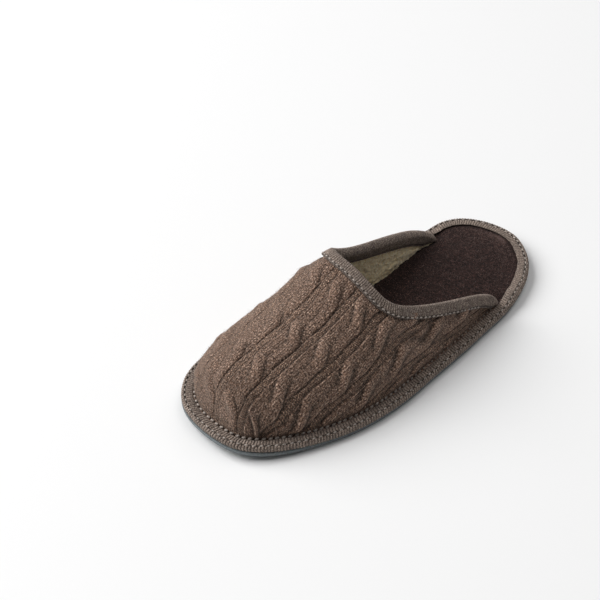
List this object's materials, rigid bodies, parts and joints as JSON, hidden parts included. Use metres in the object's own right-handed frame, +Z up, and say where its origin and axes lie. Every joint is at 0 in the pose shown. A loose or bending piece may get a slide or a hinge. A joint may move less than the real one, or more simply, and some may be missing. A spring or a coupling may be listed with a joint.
{
  "type": "slipper",
  "caption": "Backless wool house slipper for the left foot, with a cable-knit vamp, fleece lining, felt footbed, ribbed knit tape round collar and sole, and a thin rubber sole.",
  "frame": {"origin": "middle of the slipper's footprint, on the floor", "axes": "+Z up, +Y towards the heel so that the toe points along -Y, +X towards the outer side of the left foot"},
  "size_m": [0.1122, 0.27, 0.0689],
  "materials": {
    "outsole": "matte",
    "insole": "wool felt",
    "upper": "wool cable knit",
    "tape": "fine ribbed knit"
  },
  "bodies": {
    "root": {"outsole": "outsole", "insole": "insole", "upper": "upper", "collar_binding": "tape", "sole_binding": "tape"}
  },
  "joints": []
}
